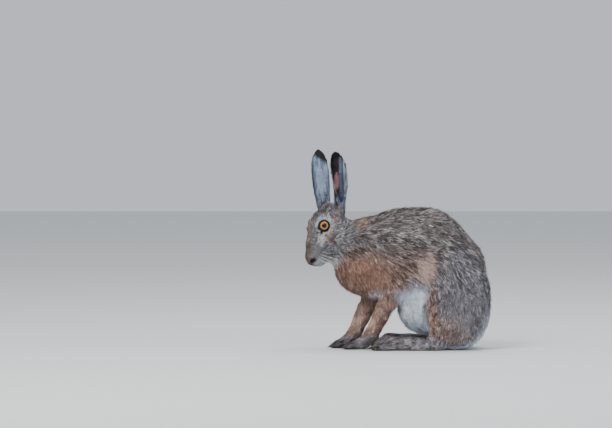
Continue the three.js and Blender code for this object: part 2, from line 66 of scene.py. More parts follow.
# The way each eye looks, in the head's own axes with y counted outwards: the near one faces the camera
GAZE = HEAD.T @ np.array([0.0, -1.0, 0.12])
GAZE /= np.linalg.norm(GAZE)
LID_OPEN, LID_EDGE = math.radians(55), math.radians(61)
# How far inside the ball the skin runs in the opening, and how far it steps out at the lids' edge
LID_UNDER, LID_STEP = 1.2, 1.9
# Distances from the eye's middle between which its own marks fade
EYE_CLOSE = 16, 20
# Angles from the gaze between which the dark rim, the pale ring and the bare skin end
RIM_EDGE, RING_EDGE, BARE_EDGE = (1.2, 1.3), (1.42, 1.6), (1.2, 1.6)
# Angles and distances between which the skin is no longer drawn towards the ball
LID_REACH, LID_FAR = (1.15, 1.5), (17, 20)


def eye_polar(hs):
    """Angle from the gaze and distance from the eye's middle, for points with y counted outwards."""
    off = hs - EYE_AT
    far = np.linalg.norm(off, axis=1)
    return np.arccos(np.clip(off @ GAZE / np.maximum(far, 1e-6), -1, 1)), far


def outward(h):
    """Head coordinates with y counted outwards on both sides."""
    return np.column_stack([h[:, 0], np.abs(h[:, 1]), h[:, 2]])


def to_head(p):
    return (p - HEAD_AT) @ HEAD


def from_head(p):
    return np.asarray(p, float) @ HEAD.T + HEAD_AT


def to_frame(p):
    return (np.asarray(p, float) + SHIFT) * MM


# Noise and masks
LATTICE_SIZE = 24
LATTICE = rng.random((LATTICE_SIZE,) * 3)


def noise(p, size, salt=0.0):
    """Smooth random values, 0 to 1, that change over about size millimetres."""
    q = p / size + 7.3 + salt * np.array([3.1, 5.7, 9.2])
    cell = np.floor(q).astype(int)
    f = q - cell
    f = f * f * (3 - 2 * f)
    total = 0
    for corner in range(8):
        step = np.array([corner & 1, corner >> 1 & 1, corner >> 2 & 1])
        index = (cell + step) % LATTICE_SIZE
        weight = np.prod(np.where(step, f, 1 - f), axis=1)
        total = total + weight * LATTICE[index[:, 0], index[:, 1], index[:, 2]]
    return total


def smooth(x, low, high):
    t = np.clip((x - low) / (high - low), 0, 1)
    return t * t * (3 - 2 * t)


def blob(p, centre, radii, soft=0.35):
    """1 inside an ellipsoid, falling to 0 over its soft rim."""
    far = np.sqrt((((p - np.array(centre)) / np.array(radii)) ** 2).sum(1))
    return 1 - smooth(far, 1 - soft, 1 + soft)


def streak(h, centre, way, long, wide, soft=0.4):
    """1 inside a long patch of a cheek: centre and way are the head's own x and z."""
    x, z = h[:, 0] - centre[0], h[:, 2] - centre[1]
    along = (x * way[0] + z * way[1]) / long
    over = (z * way[0] - x * way[1]) / wide
    return 1 - smooth(np.hypot(along, over), 1 - soft, 1 + soft)


def srgb(r, g, b):
    c = np.array([r, g, b]) / 255
    return np.where(c <= 0.04045, c / 12.92, ((c + 0.055) / 1.055) ** 2.4)


# The coat's lie, length and depth
FLIP = np.array([1, -1, 1])


def guide(at, way, *sizes):
    return (np.array(at, float), np.array(way, float), *sizes)


def head_guide(at, way, *sizes):
    return (from_head(at), np.array(way, float) @ HEAD.T, *sizes)


def both(at, way, *sizes):
    return [guide(at, way, *sizes), guide(FLIP * at, FLIP * way, *sizes)]


def both_head(at, way, *sizes):
    return [head_guide(at, way, *sizes), head_guide(FLIP * at, FLIP * way, *sizes)]


# Where, the way the hair points, then depth of the coat, length and width of a hair, in millimetres
GUIDES = [
    head_guide((67, 0, -26), (-1, 0, 0.5), 0.5, 2.2, 0.35),
    head_guide((45, 0, -4), (-1, 0, 0.35), 1.0, 4.0, 0.5),
    head_guide((20, 0, 12), (-1, 0, 0.3), 1.2, 5.0, 0.55),
    head_guide((-5, 0, 22), (-1, 0, 0.1), 1.6, 6.5, 0.6),
    head_guide((-35, 0, 20), (-1, 0, -0.2), 2.0, 8.0, 0.7),
    head_guide((52, 0, -50), (-1, 0, -0.2), 1.2, 5.0, 0.5),
    head_guide((20, 0, -50), (-1, 0, 0), 1.8, 7.0, 0.6),
    *both_head((55, 14, -33), (-0.9, 0.3, -0.3), 0.8, 3.6, 0.45),
    *both_head((35, 19, -25), (-1, 0.1, -0.25), 1.0, 4.5, 0.5),
    *both_head((13, 24, -12), (-1, 0.1, -0.35), 1.0, 4.5, 0.5),
    *both_head((10, 27, -30), (-1, 0, -0.2), 1.6, 6.5, 0.6),
    *both_head((-12, 28, -25), (-0.9, 0, -0.2), 2.0, 6.5, 0.65),
    *both_head((-30, 24, -35), (-0.9, 0, -0.1), 2.8, 7.5, 0.7),
    *both_head((-12, 26, 4), (-1, 0, -0.15), 1.4, 5.5, 0.55),
    *both_head((3, 24, 16), (-1, 0, 0.25), 1.0, 4.0, 0.5),
    *both((-100, -22, 170), (0.55, 0, -0.85), 4.5, 13, 0.9),
    *both((-100, -28, 205), (0.9, 0, -0.45), 4.0, 12, 0.9),
    guide((-105.0, 0, 150), (0.25, 0, -1.0), 4.5, 14, 0.9),
    guide((-80.0, 0, 110), (0.6, 0, -0.8), 4.0, 13, 0.9),
    guide((-90.0, 0, 240), (1.0, 0, 0.05), 4.0, 12, 0.9),
    guide((-20.0, 0, 262), (1.0, 0, 0.05), 5.0, 14, 1.0),
    guide((50.0, 0, 264), (1.0, 0, -0.1), 5.0, 15, 1.0),
    guide((125.0, 0, 228), (0.75, 0, -0.65), 5.0, 15, 1.0),
    guide((165.0, 0, 165), (0.25, 0, -1), 5.0, 15, 1.0),
    guide((165.0, 0, 90), (0.0, 0, -1), 5.0, 15, 1.0),
    *both((-55, -45, 190), (0.85, 0, -0.55), 4.5, 13, 0.9),
    *both((-55, -45, 140), (0.45, 0, -0.9), 3.5, 11, 0.85),
    *both((0, -52, 205), (1, 0, -0.2), 5.0, 14, 1.0),
    *both((0, -48, 140), (0.85, 0, -0.5), 4.5, 13, 0.95),
    *both((55, -50, 215), (1, 0, -0.25), 5.0, 15, 1.0),
    *both((45, -50, 140), (0.8, 0, -0.6), 4.0, 12, 0.9),
    *both((25, -30, 80), (0.7, 0, -0.7), 4.5, 14, 0.9),
    guide((30.0, 0, 40), (0.8, 0, -0.4), 4.5, 14, 0.9),
    *both((120, -65, 170), (0.6, 0, -0.8), 5.0, 14, 1.0),
    *both((115, -75, 100), (0.4, 0, -0.9), 3.4, 9, 0.85),
    *both((80, -70, 70), (0.15, 0, -1), 2.5, 7.5, 0.75),
    *both((140, -60, 50), (0.25, 0, -0.95), 3.4, 9.5, 0.9),
    *both((105, -55, 15), (-0.5, 0, -0.7), 2.5, 9, 0.8),
    *both((62, -52, 45), (0.1, 0, -1), 1.6, 6.5, 0.65),
    *both((20, -49, 25), (-1, 0, -0.1), 1.4, 6, 0.6),
    *both((-40, -49, 18), (-0.9, 0, -0.4), 0.8, 3.6, 0.45),
    *both((20, -49, 0), (-1, 0, 0), 0.4, 3, 0.5),
    guide((0.0, -27, 125), (-0.1, 0, -1.0), 2.8, 9, 0.8),
    guide((-34.0, -20, 62), (-0.45, 0, -0.9), 1.6, 6.0, 0.6),
    guide((-50.0, -18, 29), (-0.6, 0, -0.8), 1.3, 5.0, 0.5),
    guide((-90.0, -18, 10), (-0.9, 0, -0.4), 0.6, 3.2, 0.4),
    guide((-38.0, 25, 118), (-0.2, 0, -1.0), 2.6, 9, 0.8),
    guide((-68.0, 19, 60), (-0.4, 0, -0.9), 1.6, 6.0, 0.6),
    guide((-82.0, 18, 28), (-0.6, 0, -0.8), 1.3, 5.0, 0.5),
    guide((-118.0, 18, 10), (-0.9, 0, -0.4), 0.6, 3.2, 0.4),
    guide((150.0, 0, 55), (0.1, 0, -1.0), 4.0, 16, 0.9),
    guide((-116.0, -24, 258), (0, -0.2, 1.0), 1.0, 4.6, 0.55),
    guide((-108.0, -10, 262), (0, 0, 1.0), 1.0, 4.6, 0.55),
    guide((-136.0, 4, 264), (0, 0, 1.0), 1.0, 4.6, 0.55),
    guide((-131.0, -21, 295), (-0.5, 0, 0.85), 1.6, 5.0, 0.5),
    guide((-133.0, -29, 340), (-0.5, 0, 0.85), 1.6, 5.0, 0.5),
    guide((-119.0, -26, 300), (0, 0, 1.0), 0.35, 3.4, 0.5),
    guide((-120.0, -33, 350), (0, 0, 1.0), 0.3, 3.0, 0.45),
    guide((-142.0, 11, 300), (0, 0, 1.0), 0.35, 3.4, 0.5),
    guide((-149.0, 18, 350), (0, 0, 1.0), 0.3, 3.0, 0.45),
]
GUIDE_AT = np.array([g[0] for g in GUIDES])
GUIDE_WAY = np.array([g[1] / np.linalg.norm(g[1]) for g in GUIDES])
GUIDE_SIZES = np.array([g[2:5] for g in GUIDES])
# Points handled at a time, and how a guide's weight falls with the squared distance
GUIDE_BATCH, GUIDE_NEAREST, GUIDE_FALL = 40000, 3, 2.5


def guided(p):
    """(way, sizes) at each point: the guides' values, the nearest weighing most."""
    ways, sizes = np.empty_like(p), np.empty((len(p), 3))
    for start in range(0, len(p), GUIDE_BATCH):
        part = slice(start, start + GUIDE_BATCH)
        gap = ((p[part, None, :] - GUIDE_AT[None]) ** 2).sum(2) + GUIDE_NEAREST**2
        weight = gap**-GUIDE_FALL
        weight /= weight.sum(1, keepdims=True)
        ways[part] = weight @ GUIDE_WAY
        sizes[part] = weight @ GUIDE_SIZES
    return ways, sizes


# Colours of the coat
GRIZZLE = srgb(118, 111, 110)
RUFOUS = srgb(144, 106, 88)
TAN = srgb(186, 160, 149)
WHITE = srgb(206, 216, 232)
FACE = srgb(130, 128, 132)
BUFF = srgb(208, 210, 216)
BRIDGE = srgb(116, 96, 86)
DARK = srgb(24, 22, 25)
PALE = srgb(214, 212, 214)
HAUNCH = srgb(122, 121, 129)
NAPE = srgb(138, 108, 94)
RUST = srgb(128, 92, 70)
EAR_BACK = srgb(142, 156, 178)
EAR_EDGE = srgb(54, 66, 84)
EAR_PINK = srgb(190, 138, 150)
EAR_IN = srgb(46, 34, 36)
EAR_BAND = srgb(104, 116, 138)
FOOT = srgb(124, 122, 130)


def mix(a, b, w):
    return a + (b - a) * np.clip(w, 0, 1)[:, None]


def ear_frame(p, root, tip):
    axis = tip - root
    t = ((p - root) @ axis) / (axis @ axis)
    near = root + t[:, None] * axis
    return t, p - near


def toe_groove_shade(side, middle, spread):
    """1 along the grooves between a foot's toes, where shade is painted."""
    off = np.abs(((side - middle) / spread + 0.5) % 1 - 0.5) * spread
    return 1 - smooth(off, 0.5, 1.5)


# Marks of the body: the middle and half-sizes of each patch, and how soft its rim is
CHEST = (-72, 0, 138), (58, 90, 52)
EVEN_CHEST = (-70, 0, 135), (70, 90, 54)
NAPE_PATCH = (-82, 0, 236), (20, 60, 15)
FLANK = (46, 0, 158), (22, 90, 28), 0.4
UPPER_HAUNCH = (125, 0, 110), (62, 120, 100), 0.25
LOWER_HAUNCH = (118, 0, 75), (50, 120, 62), 0.4
HEEL_PATCH = (85, 0, 40), (48, 100, 34), 0.4
SHANK = (64, 0, 72), (11, 100, 50), 0.5
BELLY = (32, 0, 72), (46, 62, 62), 0.2
ELBOW = (-42, 0, 108), (24, 36, 16), 0.4
TAIL_PATCH = (146, 0, 48), (26, 21, 44), 0.2
# Feet: the middle across and the spread of the toes, hind and fore
HIND_Y, HIND_SPREAD = 49, 7.4
FORE_Y, FORE_SPREAD = 18, 5.2
# Marks of the head, in its own axes with y counted outwards
HEAD_PATCH = (6, 0, -14), (76, 60, 52), 0.14
UPPER_LIP = (56, 9, -40), (16, 13, 10), 0.4
NOSE_TIP = (66, 0, -30), (6, 5, 6), 0.4
NOSTRIL = (61.5, 8, -25), (6.5, 4.6, 4.6), 0.3
NOSE_BROWN = srgb(90, 62, 54)
# Long marks of the cheek: middle and way as the head's x and z, half-length, half-width, softness
UNDER_EYE = (12, -13), (0.7, -0.7), 11, 8, 0.7
BEHIND_EYE = (-18, 2), (1, 0), 8, 9, 0.7
BROW = (-19, 13), (1, -0.2), 6, 3.5
CHEEK_STREAK = (25, -7), (0.7, -0.7), 13, 4.5, 0.5
TEAR_DUCT = (12.5, 2.6), (0.9, -0.45), 5, 2.8
# The cheek's ruff ends on a circle: its middle's height in the head's axes, and its radius
RUFF_Z, RUFF_RADIUS = -10, 37
# Marks of an ear, measured across it and along it from its root
EAR_LENGTH = 120
EAR_RUST = (3, 26, 0), (9, 5, 9), 0.5
EAR_LINING = (-1, 68, 0), (5, 14, 9), 0.4
# Each ear's root, tip and the way its opening faces along y
EARS = [
    (np.array([-113.0, -13, 238]), np.array([-118.0, -36, 371]), -1),
    (np.array([-138.0, 4, 238]), np.array([-154.0, 22, 373]), 1),
]


def mark_trunk(p, colour, dark):
    """Rufous chest and nape, tan flank, greyer haunch with a russet front edge."""
    x, y, z = p.T
    side = np.abs(y)
    low = smooth(side, 20, 46) * smooth(z, 215, 150)
    colour = mix(colour, RUFOUS, 0.55 * low * smooth(x, 70, 30))
    colour = mix(colour, RUFOUS, 0.8 * blob(p, *CHEST))
    dark = dark - 0.4 * blob(p, *EVEN_CHEST)
    colour = mix(colour, NAPE, 0.9 * blob(p, *NAPE_PATCH))
    flank = blob(p, *FLANK) * smooth(side, 25, 40)
    colour = mix(colour, TAN, 0.95 * flank)
    dark = dark * (1 - 0.9 * flank)
    colour = mix(colour, HAUNCH, 0.8 * blob(p, *UPPER_HAUNCH) * smooth(side, 28, 50))
    dark = dark * (1 - 0.5 * blob(p, *LOWER_HAUNCH) * smooth(side, 28, 50))
    colour = mix(colour, RUFOUS, 0.4 * blob(p, *HEEL_PATCH) * smooth(side, 30, 45))
    colour = mix(colour, RUFOUS, 0.7 * blob(p, *SHANK) * smooth(side, 36, 50))
    return colour, dark


def mark_belly(p, n, colour, dark):
    """White belly and groin, a pale patch inside the elbow."""
    x, y, z = p.T
    belly = blob(p, *BELLY)
    colour = mix(colour, WHITE, belly)
    dark = dark * (1 - belly)
    under = smooth(-n[:, 2], -0.1, 0.45)
    groin = smooth(x, -20, 10) * under * smooth(z, 150, 90) * smooth(np.abs(y), 62, 44)
    colour = mix(colour, WHITE, 0.9 * groin)
    dark = dark * (1 - groin)
    return mix(colour, WHITE, 0.45 * blob(p, *ELBOW)), dark


def mark_legs(p, colour, dark):
    """Rufous forelegs lightened with tan as painted light, grey-brown feet, dark toes with painted shade
    between them.
    """
    x, y, z = p.T
    side = np.abs(y)
    front = smooth(z, 112, 90) * smooth(x, 8, -8) * smooth(side, 52, 36)
    colour = mix(colour, RUFOUS, 0.85 * front)
    # Painted light: tan lightens the forelegs in place of a fill light on them
    colour = mix(colour, TAN, 0.35 * front)
    dark = dark * (1 - 0.5 * front)
    feet = smooth(z, 34, 22) * smooth(x, 92, 82)
    colour = mix(colour, FOOT, 0.8 * feet)
    hind_toes = smooth(x, -28, -48) * smooth(side, 34, 40) * feet
    fore_toes = smooth(z, 22, 8) * smooth(x, -62, -84) * smooth(side, 34, 28)
    colour = mix(colour, DARK, 0.5 * np.maximum(hind_toes, fore_toes))
    # Painted shade in the grooves between the toes
    hind_groove_shade = toe_groove_shade(side, HIND_Y, HIND_SPREAD) * smooth(side, 34, 36) * smooth(x, -20, -34)
    fore_groove_shade = toe_groove_shade(side, FORE_Y, FORE_SPREAD) * smooth(side, 32, 30) * smooth(x, -78, -88)
    fore_groove_shade = fore_groove_shade * smooth(z, 24, 16)
    colour = mix(colour, DARK, 0.8 * feet * np.maximum(hind_groove_shade, fore_groove_shade))
    return colour, dark


def mark_tail(p, n, colour, dark):
    """White below and at its sides, black along its top."""
    side = np.abs(p[:, 1])
    tail = blob(p, *TAIL_PATCH) * smooth(side, 21, 18)
    colour = mix(colour, WHITE, tail * smooth(p[:, 2], 84, 50))
    colour = mix(colour, DARK, 0.9 * tail * smooth(side, 9, 5) * smooth(n[:, 0], 0.2, 0.6))
    return colour, dark * (1 - 0.8 * tail)


def lip_line(hs):
    """1 along the line of the mouth, where shade is painted in its crease."""
    along = np.clip((hs[:, 0] - LIP_CORNER) / (LIP_FRONT - LIP_CORNER), 0, 1)
    lip = LIP_LOW + LIP_BOW * np.sin(math.pi * along) + LIP_RISE * along**2
    near = 1 - smooth(np.abs(hs[:, 2] - lip), 0.7, 2.0)
    ends = smooth(hs[:, 0], LIP_CORNER - 2, LIP_CORNER + 2) * smooth(hs[:, 0], LIP_FRONT + 8, LIP_FRONT)
    return near * ends


def face_colour(hs):
    """(colour, dark rim of the eye) of the head alone."""
    face = np.tile(FACE, (len(hs), 1))
    face = mix(face, BRIDGE, 0.85 * smooth(hs[:, 1], 11, 5) * smooth(hs[:, 0], -6, 12))
    face = mix(face, DARK, 0.45 * smooth(hs[:, 1], 24, 12) * smooth(hs[:, 0], 14, -6))
    on_side = smooth(hs[:, 1], 12, 18)
    face = mix(face, RUST, 0.7 * streak(hs, *UNDER_EYE) * on_side)
    face = mix(face, RUST, 0.65 * streak(hs, *BEHIND_EYE) * on_side)
    face = mix(face, BUFF, 0.45 * streak(hs, *BROW) * on_side)
    face = mix(face, BUFF, 0.95 * streak(hs, *CHEEK_STREAK) * on_side)
    turn, far = eye_polar(hs)
    close = 1 - smooth(far, *EYE_CLOSE)
    face = mix(face, BUFF, 0.8 * (1 - smooth(turn, *RING_EDGE)) * close)
    rim = np.maximum((1 - smooth(turn, *RIM_EDGE)) * close, streak(hs, *TEAR_DUCT) * on_side)
    face = mix(face, DARK, 0.98 * rim)
    face = mix(face, BUFF, 0.5 * blob(hs, *UPPER_LIP))
    face = mix(face, BUFF, 0.7 * smooth(hs[:, 2], -44, -52) * smooth(hs[:, 0], 12, 28))
    face = mix(face, NOSE_BROWN, 0.7 * blob(hs, *NOSE_TIP))
    # Painted shade: the nostrils' openings are near-black spots on the skin
    face = mix(face, DARK, 0.96 * blob(hs, *NOSTRIL))
    # Painted shade along the crease of the mouth
    return mix(face, DARK, 0.45 * lip_line(hs)), rim


def mark_head(p, colour, dark):
    """The face as far as the ruff of the cheek, and the shade behind that ruff."""
    h = to_head(p)
    hs = outward(h)
    face, rim = face_colour(hs)
    ruff = np.hypot(hs[:, 0], hs[:, 2] - RUFF_Z)
    behind = smooth(hs[:, 0], 24, 12) * smooth(hs[:, 1], 8, 14)
    on_head = blob(h, *HEAD_PATCH) * smooth(h[:, 0], -42, -26)
    on_head = on_head * (1 - smooth(ruff, RUFF_RADIUS, RUFF_RADIUS + 3) * behind)
    ring = smooth(ruff, RUFF_RADIUS - 1, RUFF_RADIUS + 3) * (1 - smooth(ruff, 43, 52))
    shade = ring * behind * smooth(hs[:, 0], -40, -30)
    colour = mix(colour, DARK, 0.5 * shade * (1 - on_head))
    colour = mix(colour, face, on_head)
    ticked = 0.85 * (1 - 0.75 * smooth(hs[:, 0], 32, 50)) * (1 - rim)
    return colour, dark * (1 - on_head) + ticked * on_head


def ear_back(off, t, flat):
    """Streaked blue-grey, a darker front edge of grizzled fur with painted shade, a rusty spot low down."""
    back = mix(np.tile(EAR_BACK, (len(t), 1)), FACE, 0.6 * smooth(t, 0.35, 0.12))
    streaks = noise(np.column_stack([off[:, 0] * 3, off[:, 1] * 3, t * 60]), 9, 2)
    back = mix(back, EAR_EDGE, 0.6 * smooth(streaks, 0.5, 0.7))
    # The front edge: its darker grizzled fur, with painted shade on that edge
    back = mix(back, EAR_EDGE, 0.9 * smooth(-off[:, 0], 6, 13))
    return mix(back, RUST, 0.6 * blob(flat, *EAR_RUST))


def ear_inside(off, t, flat):
    """Dark front half with a pink lining, a grey band with a slit of painted shade low down, and a pale
    rear rim.
    """
    inner = mix(np.tile(EAR_IN, (len(t), 1)), EAR_PINK, 0.95 * blob(flat, *EAR_LINING))
    inner = mix(inner, EAR_BAND, smooth(off[:, 0], 3.5, 6) * smooth(t, 0.25, 0.4))
    inner = mix(inner, EAR_EDGE, 0.7 * smooth(off[:, 0], 9, 11))
    inner = mix(inner, BUFF, 0.8 * smooth(off[:, 0], 12.5, 15))
    # Low down the grey band leaves a thin dark slit: painted shade in the ear's opening
    return mix(inner, EAR_BAND, 0.8 * smooth(t, 0.44, 0.36) * smooth(np.abs(off[:, 0] + 1), 2, 4))


def mark_ear(p, n, ear, colour, dark):
    """One ear with its black tip."""
    root, tip, sign = ear
    t, off = ear_frame(p, root, tip)
    away = np.linalg.norm(off, axis=1)
    on_ear = smooth(t, 0.16, 0.26) * smooth(away, 27, 24)
    inside = smooth(sign * n[:, 1], -0.1, 0.25) * smooth(away, 18, 14)
    flat = np.column_stack([off[:, 0], t * EAR_LENGTH, off[:, 0] * 0])
    shade = mix(ear_back(off, t, flat), ear_inside(off, t, flat), inside)
    slant = np.where(inside > 0.5, -0.004, 0.006) * off[:, 0]
    front_edge = smooth(t, 0.6, 0.8) * smooth(-off[:, 0], 4, 9) * inside
    black = np.maximum(smooth(t + slant, 0.84, 0.92), front_edge)
    colour = mix(colour, mix(shade, DARK, black), on_ear)
    return colour, dark * (1 - on_ear) + 0.15 * on_ear


def markings(p, n):
    """(colour, how far dark tips show) at points p with outward normals n, in the drawing's millimetres."""
    colour = np.tile(GRIZZLE, (len(p), 1))
    dark = np.full(len(p), 0.75)
    colour, dark = mark_trunk(p, colour, dark)
    colour, dark = mark_belly(p, n, colour, dark)
    colour, dark = mark_legs(p, colour, dark)
    colour, dark = mark_tail(p, n, colour, dark)
    colour, dark = mark_head(p, colour, dark)
    for ear in EARS:
        colour, dark = mark_ear(p, n, ear, colour, dark)
    return colour, dark


# Skin
FLESH = [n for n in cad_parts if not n.startswith("eye")]
VOXEL = 1.55 * MM
# How far the solids are swelled before they are joined
SKIN_SWELL, EAR_SWELL = 0.35 * MM, 1.0 * MM
MERGE = 0.002 * MM
# The skin under the hair keeps this share of the markings' brightness: the hair's darker base and painted
# shade under the coat
SKIN_SHADE = 0.62
# Rounds of smoothing, and how far each one goes
SMOOTHINGS, RUMP_SMOOTHINGS = 14, 30
BODY_SMOOTHING, EAR_SMOOTHING = 0.62, 0.07
FINE_FACE = (20, 0, -15), (62, 40, 44), 0.2
# A slight unevenness of the skin: over how many millimetres, and how far
UNEVEN_SIZE, UNEVEN_DEPTH = 9, 0.5
# The lowest the skin goes, in metres
LOWEST = 0.0003
MARKINGS = "markings"
BUMP_SCALE, BUMP_DEPTH = 900, 0.4 * MM


def mesh_arrays(mesh):
    co = np.empty(len(mesh.vertices) * 3)
    mesh.vertices.foreach_get("co", co)
    no = np.empty(len(mesh.vertices) * 3)
    mesh.vertices.foreach_get("normal", no)
    return co.reshape(-1, 3), no.reshape(-1, 3)


def edge_pairs(mesh):
    edges = np.empty(len(mesh.edges) * 2, int)
    mesh.edges.foreach_get("vertices", edges)
    return edges.reshape(-1, 2)


def swelled(node, swell):
    """A copy of a node's mesh in the frame, every vertex moved out along its normal."""
    bm = bmesh.new()
    bm.from_mesh(node.data)
    bm.transform(node.matrix_world)
    bmesh.ops.remove_doubles(bm, verts=bm.verts, dist=MERGE)
    bm.normal_update()
    for v in bm.verts:
        v.co += v.normal * swell
    mesh = bpy.data.meshes.new("part")
    bm.to_mesh(mesh)
    bm.free()
    return mesh


def make_skin():
    """All nodes of flesh as one closed surface."""
    joined_nodes = bmesh.new()
    for name in FLESH:
        swell = EAR_SWELL if name.startswith("ear") else SKIN_SWELL
        mesh = swelled(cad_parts[name], swell)
        joined_nodes.from_mesh(mesh)
        bpy.data.meshes.remove(mesh)
    data = bpy.data.meshes.new("skin")
    joined_nodes.to_mesh(data)
    joined_nodes.free()
    made = bpy.data.objects.new("skin", data)
    bpy.context.scene.collection.objects.link(made)
    remesh = made.modifiers.new("one", "REMESH")
    remesh.mode = "VOXEL"
    remesh.voxel_size = VOXEL
    whole = made.evaluated_get(bpy.context.evaluated_depsgraph_get())
    flat = bpy.data.meshes.new_from_object(whole)
    made.modifiers.clear()
    made.data = flat
    bpy.data.meshes.remove(data)
    keep_largest(flat)
    return made


def edge_mean(co, edges, rounds, share):
    """Each vertex drawn towards its neighbours' mean by share, which is a number or one per vertex."""
    count = np.bincount(edges.ravel(), minlength=len(co))[:, None]
    for _ in range(rounds):
        total = np.zeros_like(co)
        for k in range(3):
            total[:, k] = np.bincount(edges[:, 0], co[edges[:, 1], k], len(co))
            total[:, k] += np.bincount(edges[:, 1], co[edges[:, 0], k], len(co))
        co = co + (total / np.maximum(count, 1) - co) * share
    return co


def ear_share(p):
    """1 on the blades of the ears."""
    thin = np.zeros(len(p))
    for root, tip, _ in EARS:
        t, off = ear_frame(p, root, tip)
        thin = np.maximum(thin, smooth(t, 0.14, 0.28) * smooth(np.linalg.norm(off, axis=1), 28, 26))
    return thin


def place_vertices(mesh, co):
    mesh.vertices.foreach_set("co", co.ravel())
    mesh.update()


def finish_skin(mesh):
    """The skin smoothed, drawn in by the coat's depth and opened at the eyes."""
    co, _ = mesh_arrays(mesh)
    edges = edge_pairs(mesh)
    p = co / MM - SHIFT
    h = to_head(p)
    thin = ear_share(p)
    fine = blob(h, *FINE_FACE)
    share = (BODY_SMOOTHING * (1 - thin) * (1 - 0.75 * fine) + EAR_SMOOTHING * thin)[:, None]
    for _ in range(SMOOTHINGS):
        co = edge_mean(co, edges, 1, share)
        co = edge_mean(co, edges, 1, -share * 0.95)
    rump = (smooth(p[:, 0], 40, 70) * smooth(p[:, 2], 60, 90) * BODY_SMOOTHING)[:, None]
    place_vertices(mesh, edge_mean(co, edges, RUMP_SMOOTHINGS, rump))
    co, no = mesh_arrays(mesh)
    p = co / MM - SHIFT
    _, sizes = guided(p)
    turn, far = eye_polar(outward(h))
    bare = (1 - smooth(turn, *BARE_EDGE)) * (1 - smooth(far, *EYE_CLOSE))
    depth = sizes[:, 0:1] * (1 - bare[:, None])
    swell = SKIN_SWELL * (1 - thin) + EAR_SWELL * thin
    co = co - no * (depth * MM + swell[:, None])
    uneven = UNEVEN_DEPTH * (noise(p, UNEVEN_SIZE, 3) - 0.5) * (1 - thin) * (1 - fine)
    co = co + no * uneven[:, None] * MM
    co[:, 2] = np.maximum(co[:, 2], LOWEST)
    place_vertices(mesh, open_lids(co))
    mesh.shade_smooth()


def open_lids(co):
    """The skin drawn under the eyeball inside the lids' edge, and over it along the edge."""
    h = to_head(co / MM - SHIFT)
    hs = outward(h)
    turn, far = eye_polar(hs)
    lid = EYE_RADIUS - LID_UNDER + LID_STEP * smooth(turn, LID_OPEN, LID_EDGE)
    share = (1 - smooth(turn, *LID_REACH)) * (1 - smooth(far, *LID_FAR))
    wanted = EYE_AT + (hs - EYE_AT) * (lid / np.maximum(far, 1e-6))[:, None]
    hs = hs + (wanted - hs) * share[:, None]
    hs[:, 1] *= np.where(h[:, 1] < 0, -1, 1)
    return to_frame(from_head(hs))


def keep_largest(mesh):
    """Only the biggest closed surface stays."""
    edges = edge_pairs(mesh)
    label = np.arange(len(mesh.vertices))
    while True:
        low = np.minimum(label[edges[:, 0]], label[edges[:, 1]])
        new = label.copy()
        np.minimum.at(new, edges[:, 0], low)
        np.minimum.at(new, edges[:, 1], low)
        new = new[new]
        if (new == label).all():
            break
        label = new
    names, counts = np.unique(label, return_counts=True)
    best = names[counts.argmax()]
    bm = bmesh.new()
    bm.from_mesh(mesh)
    bm.verts.ensure_lookup_table()
    gone = [bm.verts[i] for i in np.nonzero(label != best)[0]]
    bmesh.ops.delete(bm, geom=gone, context="VERTS")
    bm.to_mesh(mesh)
    bm.free()


def paint(mesh, colours):
    layer = mesh.color_attributes.new(MARKINGS, "FLOAT_COLOR", "POINT")
    layer.data.foreach_set("color", np.column_stack([colours, np.ones(len(colours))]).ravel())


def add_bump(tree, shader, distance):
    """Fine hair as relief."""
    texture = tree.nodes.new("ShaderNodeTexNoise")
    texture.inputs["Scale"].default_value = BUMP_SCALE
    texture.inputs["Detail"].default_value = 3
    place = tree.nodes.new("ShaderNodeTexCoord")
    tree.links.new(place.outputs["Object"], texture.inputs["Vector"])
    lift = tree.nodes.new("ShaderNodeBump")
    lift.inputs["Strength"].default_value = 0.5
    lift.inputs["Distance"].default_value = distance
    tree.links.new(texture.outputs["Fac"], lift.inputs["Height"])
    tree.links.new(lift.outputs["Normal"], shader.inputs["Normal"])


def marked_material(name, roughness):
    """A material coloured by the painted markings."""
    material = bpy.data.materials.new(name)
    material.use_nodes = True
    tree = material.node_tree
    shader = tree.nodes["Principled BSDF"]
    shader.inputs["Roughness"].default_value = roughness
    shader.inputs["Specular IOR Level"].default_value = 0.25
    attribute = tree.nodes.new("ShaderNodeVertexColor")
    attribute.layer_name = MARKINGS
    tree.links.new(attribute.outputs["Color"], shader.inputs["Base Color"])
    return material


def hide_material():
    material = marked_material("hide", 0.8)
    tree = material.node_tree
    add_bump(tree, tree.nodes["Principled BSDF"], BUMP_DEPTH)
    return material


# Tufts
# How many of the roots are kept, the side of a tuft's patch on the map and the margin of the map
SHARE = 1.0
PATCH, MAP_MARGIN = 0.003, 0.0005
# Roots per mm² fall as hairs grow longer and wider, and feet, soles and head have fewer
ROOT_RATE, RATE_FALL = 4.4, 0.75
FEET_RATE, SOLE_RATE, HEAD_RATE = 0.62, 0.1, 0.86
SOLE_TO_Z, FEET_TO_Z = 1.2, 30
HEAD_MIDDLE, HEAD_REACH = np.array([8, 0, -14]), 78
BARE_NOSE = (65, 0, -27), (6, 6.5 / 0.75, 5), 0.3
# Hair begins at this angle from the gaze, and at a wider one in front of the eye
HAIR_EDGE, HAIR_EDGE_MORE, HAIR_EDGE_SOFT = 1.34, 0.34, 0.1
# The lie wavers by this share over this many millimetres, then each tuft turns and tilts by itself
WAVER, WAVER_SIZE = 0.22, 14
TURN, TILT = 0.16, 0.25
# Between which shares of the guides' values each tuft varies
LENGTHS, REACHES, WIDTHS = (0.7, 1.25), (0.75, 1.3), (0.75, 1.25)
STRAYS = 0.03
# Clumps: how far their cells are drawn out along the hair, then how far tips go to the middle, and at most
CLUMP_STRETCH, GATHER, GATHER_MOST = 0.45, 0.45, 0.45
CLUMP_HASH = np.array([73856093, 19349663, 83492791])
